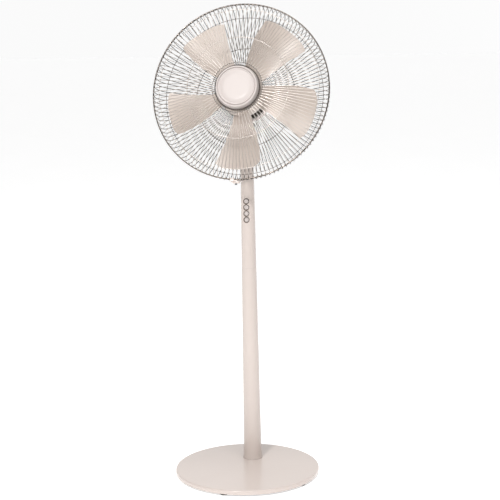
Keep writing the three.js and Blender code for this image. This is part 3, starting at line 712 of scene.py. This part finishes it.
def make_rear_guard():
    rear_line = bent_line(
        [
            (48.5, 4.0),
            (INNER_RING, 1.2, 20),
            (OUTER_RING, -17.6, 14),
            (GUARD_RADIUS - 6, RIM_PLANE + 34, 12),
            (GUARD_RADIUS - 0.6, RIM_PLANE + 20, 10),
            (GUARD_RADIUS - 0.8, RIM_PLANE + 1.6),
        ]
    )
    angles = [2 * math.pi * i / REAR_WIRES for i in range(REAR_WIRES)]
    shapes = [wires(rear_line, WIRE, angles)]
    shapes.append(hoop(INNER_RING, -0.8, RING_WIRE))
    shapes.append(hoop(OUTER_RING, -19.2, THIN_RING_WIRE))
    shapes.append(hoop(GUARD_RADIUS + 0.1, RIM_PLANE + 1.5, RIM_WIRE, sides=14))
    disc = outline(
        [
            (29, 3.0),
            (29, 5.4),
            (36, 5.6, 1),
            (40, 6.6, 2),
            (47, 5.6, 1.4),
            (51, 5.2, 0.8),
            (51, 2.6, 0.8),
            (47, 3.0, 1),
            (40, 4.2, 2),
            (36, 3.0, 1),
        ]
    )
    shapes.append(lathe_arrays(disc, 128, "Y"))
    # the whole rear guard gets the darkened wire finish: painted shade
    guard_piece("rear_guard_wires", shapes, "painted_shade_wire", "rear_guard")


def make_guard_nut():
    """The fluted nut that clamps the rear guard to the motor."""
    nut = lathe(
        "clamp_nut",
        [
            (28.4, -4, 0.4),
            (36, -4, 1.4),
            (38.6, -2.6, 1.2),
            (38.8, 2.4, 0.5),
            (28.4, 2.4, 0.4),
        ],
        axis="Y",
        place=HEAD,
        sides=120,
    )
    grips = []
    for i in range(GRIP_COUNT):
        angle = 2 * math.pi * i / GRIP_COUNT
        at = shift(39.8 * math.cos(angle), 0, 39.8 * math.sin(angle))
        grips.append(post(1.7, -8, 8, HEAD @ at, 20, "Y"))
    combine(nut, grips)
    piece(nut, "grey_plastic", "head", "guard_nut")


def make_cap():
    """The blank disc in the front guard's centre, and the ring that holds it from behind."""
    face = FRONT_PLANE - CAP_STAND_OUT
    cap = lathe(
        "cap_disc",
        [
            (0, face - 0.1),
            (29, face + 0.1, 5),
            (34, face + 1.1, 4),
            (38.4, face + 2.3, 1.2),
            (39.4, face + 1.3, 0.8),
            (41, face + 1.2, 0.5),
            (41.6, face + 3.6, 0.4),
            (42.9, face + 3.6, 0.4),
            (43.6, face + 0.5, 0.9),
            (45.6, face + 0.1, 1.1),
            (46.9, face + 1.6, 1.3),
            (47.5, FRONT_PLANE - 5, 2),
            (49.3, FRONT_PLANE + 1.2, 0.6),
            (47.4, FRONT_PLANE + 1.2, 0.4),
            (45.4, FRONT_PLANE - 6),
            (44.6, FRONT_PLANE - 8),
            (0, FRONT_PLANE - 8),
        ],
        axis="Y",
        place=HEAD,
        sides=144,
        angle=50,
    )
    piece(cap, "cap_plastic", "head", "front_cap")
    retainer = lathe(
        "cap_retaining_ring",
        [
            (0, FRONT_PLANE - 7.7),
            (39.2, FRONT_PLANE - 7.7),
            (39.2, FRONT_PLANE - 4),
            (41.6, FRONT_PLANE - 3.6, 0.6),
            (41.6, FRONT_PLANE - 2.2, 0.6),
            (0, FRONT_PLANE - 2.2),
        ],
        axis="Y",
        place=HEAD,
        sides=96,
    )
    piece(retainer, "grey_plastic", "head", "cap_retainer")


def make_clip():
    """The clip that holds the two rims together at the bottom."""
    reach = GUARD_RADIUS + CLIP_OFFSET
    plate = block("rim_clip", (26, 16.4, 2.2), (0, RIM_PLANE, -(reach + 1.6)), HEAD, 0.8)
    wing = block("cutter", (15.6, 8, 6.0), (0, RIM_PLANE, -(reach + 4.2)), HEAD, 1.4)
    combine(plate, [wing], "UNION")
    hooks = [
        block("cutter", (9.6, 2.0, 6.6), (x, y, -(reach - 0.2)), HEAD, 0.5)
        for x in (-8, 8)
        for y in (RIM_PLANE - 7.2, RIM_PLANE + 7.2)
    ]
    combine(plate, hooks, "UNION")
    bore = post(1.8, -12, 8, HEAD @ shift(y=RIM_PLANE, z=-reach), 32)
    dimples = [
        post(1.3, -12, -0.2, HEAD @ shift(x, RIM_PLANE, -(reach + 1.0)), 24) for x in (-10.4, 10.4)
    ]
    combine(plate, [bore, *dimples])
    piece(plate, "gloss_shell", "head", "guard_clip")


# ---------------------------------------------------------------- motor shells
def make_motor_face():
    """The dark front of the motor, with the groove that seats the rear guard. Its dark colour is
    partly the plate's own and partly painted shade for the shade behind the hub.
    """
    plate = lathe(
        "motor_face",
        [
            (4.2, 2),
            (12.4, 2, 0.8),
            (12.4, 7, 0.8),
            (24, 7),
            (24, -2, 0.4),
            (28, -2, 0.6),
            (28, 7, 0.8),
            (42, 7, 0.6),
            (43.5, 8.5, 0.8),
            (43.5, 12),
            (9.7, 12),
            (9.7, 3.5),
            (4.2, 3.5),
        ],
        axis="Y",
        place=HEAD,
        sides=96,
    )
    # dark plastic: partly the plate's own colour, partly painted shade behind the hub
    piece(plate, "dark_plastic", "head", "motor_front_plate")


def make_motor_shell():
    """The rounded rear housing, with its vents, the gap for the tilt lug and the screw's hole."""
    shell = lathe(
        "motor_shell",
        [
            (45, 12.3),
            (47.5, 12.3, 0.4),
            (48, 24, 10),
            (47.3, 40, 14),
            (44, 58, 14),
            (34, 73, 12),
            (18, 78.6, 8),
            (0, 79),
            (0, 76.5),
            (18, 75.6),
            (31.6, 69.8, 8),
            (40.4, 57.4, 8),
            (44.4, 40, 8),
            (45.4, 24),
        ],
        axis="Y",
        place=HEAD,
        sides=112,
    )
    slots = []
    for x in (-21, -14, -7, 0, 7, 14, 21):
        length = 2 * math.sqrt(28**2 - x * x) * 0.62
        slots.append(block("cutter", (3, 26, length), (x, 72, 8), HEAD, 1.2))
    for k in range(12):
        angle = 2 * math.pi * k / 12
        at_lug = abs(math.sin(angle) + 1) < 0.2
        if not at_lug:
            place = HEAD @ Matrix.Rotation(-angle, 4, "Y")
            slots.append(block("cutter", (12, 14, 3), (46, 32, 0), place, 1.2))
    lug_middle = PIVOT_DROP * math.tan(math.radians(HEAD_TILT)) + 2
    lug_gap = block("cutter", (17.2, 22, 20), (0, lug_middle, -48), HEAD, 1)
    screw_hole = post(1.9, 58, 90, HEAD @ shift(z=-14), 24, "Y")
    combine(shell, [*slots, lug_gap, screw_hole])
    piece(shell, "gloss_shell", "head", "motor_housing")


# ---------------------------------------------------------------- propeller
def trailing_angle(t):
    """The blade's trailing edge at the share t of its length, from the blade's own line."""
    return math.radians(20.5 - 7.5 * t**1.6)


def leading_angle(t):
    return -math.radians(22 + 2 * t * t + 3 * (1 - t) ** 6)


def blade_arrays(turn):
    """One blade of the propeller: the trailing edge is at the front, and its corner is rounder."""
    rows, columns = 34, 30
    inner = HUB_RADIUS - 1.2
    front, back = [], []
    for i in range(rows + 1):
        t = i / rows
        for j in range(columns + 1):
            s = 2 * j / columns - 1
            edge = abs(s)
            corner_depth = 0.034 if s > 0 else 0.028
            r = (inner + (BLADE_TIP_RADIUS - inner) * t) * (1 - corner_depth * edge**6 * t**6)
            lead, trail = leading_angle(t), trailing_angle(t)
            angle = turn + lead + (s + 1) / 2 * (trail - lead)
            along = BLADE_MIDDLE - s * BLADE_HALF_DEPTH * (1 - 0.35 * t)
            along += BLADE_CAMBER * (1 - s * s)
            along -= BLADE_EDGE_CURL * max(s, 0) ** 3
            along += 1.2 * math.sin(math.pi * t) * (1 - edge)
            half = 0.45 + 0.75 * (1 - edge**4) * (1 - 0.5 * t**8)
            half += 1.2 * math.exp(-t * 22)
            x, z = r * math.cos(angle), r * math.sin(angle)
            front.append((x, along - half, z))
            back.append((x, along + half, z))
    points = front + back
    size = len(front)
    wide = columns + 1
    faces = []
    for i in range(rows):
        for j in range(columns):
            a, b = i * wide + j, i * wide + j + 1
            c, d = b + wide, a + wide
            faces.append((a, b, c, d))
            faces.append((a + size, d + size, c + size, b + size))
    rim = list(range(columns + 1))
    rim += [i * wide + columns for i in range(1, rows + 1)]
    rim += [rows * wide + j for j in range(columns - 1, -1, -1)]
    rim += [i * wide for i in range(rows - 1, 0, -1)]
    for a, b in zip(rim, rim[1:] + rim[:1]):
        faces.append((a, a + size, b + size, b))
    return points, faces


def make_propeller():
    hub = lathe(
        "fan_blades",
        [
            (3.3, -62, 0.4),
            (HUB_RADIUS - 3.4, -60.4, 1),
            (HUB_RADIUS - 2.8, -73.6, 0.5),
            (HUB_RADIUS - 1.8, -75, 0.6),
            (HUB_RADIUS, -72, 1.6),
            (HUB_RADIUS, -26, 0.8),
            (HUB_RADIUS - 2.4, -26, 0.8),
            (HUB_RADIUS - 2.4, -58, 2),
            (9, -56),
            (9, -30, 0.6),
            (3.3, -30, 0.4),
        ],
        axis="Y",
        place=HEAD,
        sides=120,
    )
    blades = []
    for i in range(BLADE_COUNT):
        turn = math.radians(BLADE_PHASE + i * 360 / BLADE_COUNT)
        points, faces = blade_arrays(turn)
        blades.append(solid("cutter", from_arrays(points, faces, HEAD), 45))
    combine(hub, blades, "UNION", 38)
    piece(hub, "blade_plastic", "rotor", "propeller")


def make_spinner_nut():
    nut = lathe(
        "spinner_knob",
        [
            (0, -75.4),
            (5.5, -75.2, 1.5),
            (9.5, -73.6, 1.5),
            (12.2, -64, 1),
            (12.4, -62.3, 0.4),
            (3.3, -62.3),
            (3.3, -67),
            (0, -67),
        ],
        axis="Y",
        place=HEAD,
        sides=64,
    )
    flutes = []
    for i in range(FLUTE_COUNT):
        angle = 2 * math.pi * i / FLUTE_COUNT
        at = shift(12.8 * math.cos(angle), 0, 12.8 * math.sin(angle))
        flutes.append(post(1.6, -80, -64, HEAD @ at, 20, "Y"))
    combine(nut, flutes)
    piece(nut, "blade_plastic", "rotor", "spinner_nut")


# ---------------------------------------------------------------- CAD nodes that stay
def finish_cad_nodes():
    """Every CAD node gets its slot's material and soft shading; later pieces replace some."""
    looks = {
        "grey_plastic": ("column_joiner",),
        "cap_plastic": ("oscillation_pinion",),
        "black_rubber": ("cord_inlet_bush",),
        "circuit_board": ("control_board",),
        "copper_winding": ("motor_stator",),
        "bronze": ("neck_bush",),
    }
    slots = {name: look for look, names in looks.items() for name in names}
    for name, made in nodes.items():
        look = slots.get(name, "steel")
        made.data.materials.clear()
        made.data.materials.append(LOOKS["dark_steel" if name == "motor_bracket" else look])
        smooth(made.data, 32)


# ---------------------------------------------------------------- stage
def area_light(name, place, target, size, power):
    """A rectangular lamp that faces its target: places and sizes in metres, power in watts."""
    data = bpy.data.lights.new(name, "AREA")
    data.shape = "RECTANGLE"
    data.size, data.size_y = size
    data.energy = power
    light = bpy.data.objects.new(name, data)
    light.location = place
    light.rotation_euler = (Vector(target) - Vector(place)).to_track_quat("-Z", "Y").to_euler()
    bpy.context.scene.collection.objects.link(light)


def make_floor():
    bm = bmesh.new()
    bmesh.ops.create_grid(bm, x_segments=8, y_segments=8, size=30)
    floor = solid("floor", bm)
    floor.location.z = -0.0005
    paper = Finish("studio_paper", srgb("fbfbfb"), 0.8)
    paper.vary_roughness(paper.noise(3, 3), 0.7, 0.85)
    paper.shader.inputs["Emission Color"].default_value = (1, 1, 1, 1)
    paper.shader.inputs["Emission Strength"].default_value = 0.5
    floor.data.materials.append(paper.material)


def make_world():
    """A soft white studio, brighter behind, above and to the right of the fan."""
    world = bpy.data.worlds.new("studio")
    bpy.context.scene.world = world
    world.use_nodes = True
    tree = world.node_tree
    background = tree.nodes["Background"]
    background.inputs["Color"].default_value = (1, 1, 1, 1)
    direction = tree.nodes.new("ShaderNodeTexCoord")
    axes = tree.nodes.new("ShaderNodeSeparateXYZ")
    tree.links.new(direction.outputs["Generated"], axes.inputs["Vector"])
    strength = None
    for axis, start, end, low, high in (
        ("Z", 0.0, 0.75, 0.06, 0.2),
        ("Y", 0.1, 0.85, 0.0, 0.9),
        ("X", -0.2, 0.9, 0.0, 0.25),
    ):
        part = tree.nodes.new("ShaderNodeMapRange")
        part.interpolation_type = "SMOOTHSTEP"
        for key, value in (("From Min", start), ("From Max", end), ("To Min", low), ("To Max", high)):
            part.inputs[key].default_value = value
        tree.links.new(axes.outputs[axis], part.inputs["Value"])
        if strength is None:
            strength = part.outputs["Result"]
        else:
            total = tree.nodes.new("ShaderNodeMath")
            tree.links.new(strength, total.inputs[0])
            tree.links.new(part.outputs["Result"], total.inputs[1])
            strength = total.outputs["Value"]
    tree.links.new(strength, background.inputs["Strength"])


def make_lights():
    area_light("key", (-0.4, -2.8, 2.2), (0, 0, 0.75), (0.4, 0.35), 66)
    area_light("top", (0.3, -0.7, 3.2), (0, 0, 0.5), (1.4, 1.2), 50)


def make_camera():
    """Places in metres; the camera stands to the fan's left, a little above the head."""
    azimuth, pitch, roll = (math.radians(angle) for angle in (11.897, -10.076, 1.139))
    distance, height, sideways = 3.0, 1.062, 0.01609
    right = Vector((math.cos(azimuth), math.sin(azimuth), 0))
    ahead = Vector(
        (-math.sin(azimuth) * math.cos(pitch), math.cos(azimuth) * math.cos(pitch), math.sin(pitch))
    )
    above = right.cross(ahead)
    x_axis = right * math.cos(roll) - above * math.sin(roll)
    y_axis = above * math.cos(roll) + right * math.sin(roll)
    place = Vector((distance * math.sin(azimuth), -distance * math.cos(azimuth), height))
    place += sideways * right
    data = bpy.data.cameras.new("camera")
    data.lens = 96.156
    data.sensor_width = 36
    data.clip_end = 100
    camera = bpy.data.objects.new("camera", data)
    turned = Matrix((x_axis, y_axis, -ahead)).transposed().to_4x4()
    camera.matrix_world = Matrix.Translation(place) @ turned
    bpy.context.scene.collection.objects.link(camera)
    bpy.context.scene.camera = camera


finish_cad_nodes()
make_base()
make_lower_sleeve()
make_flange()
make_upper_sleeve()
for number in range(BUTTON_COUNT):
    make_button(number)
    # the dark crescent beside each button is painted shadow
    make_painted_button_shadow(number)
make_neck()
make_front_guard()
make_rear_guard()
make_guard_nut()
make_cap()
make_clip()
make_motor_face()
make_motor_shell()
make_propeller()
make_spinner_nut()
make_floor()
make_world()
make_lights()
make_camera()
bpy.context.scene.view_settings.view_transform = "Standard"
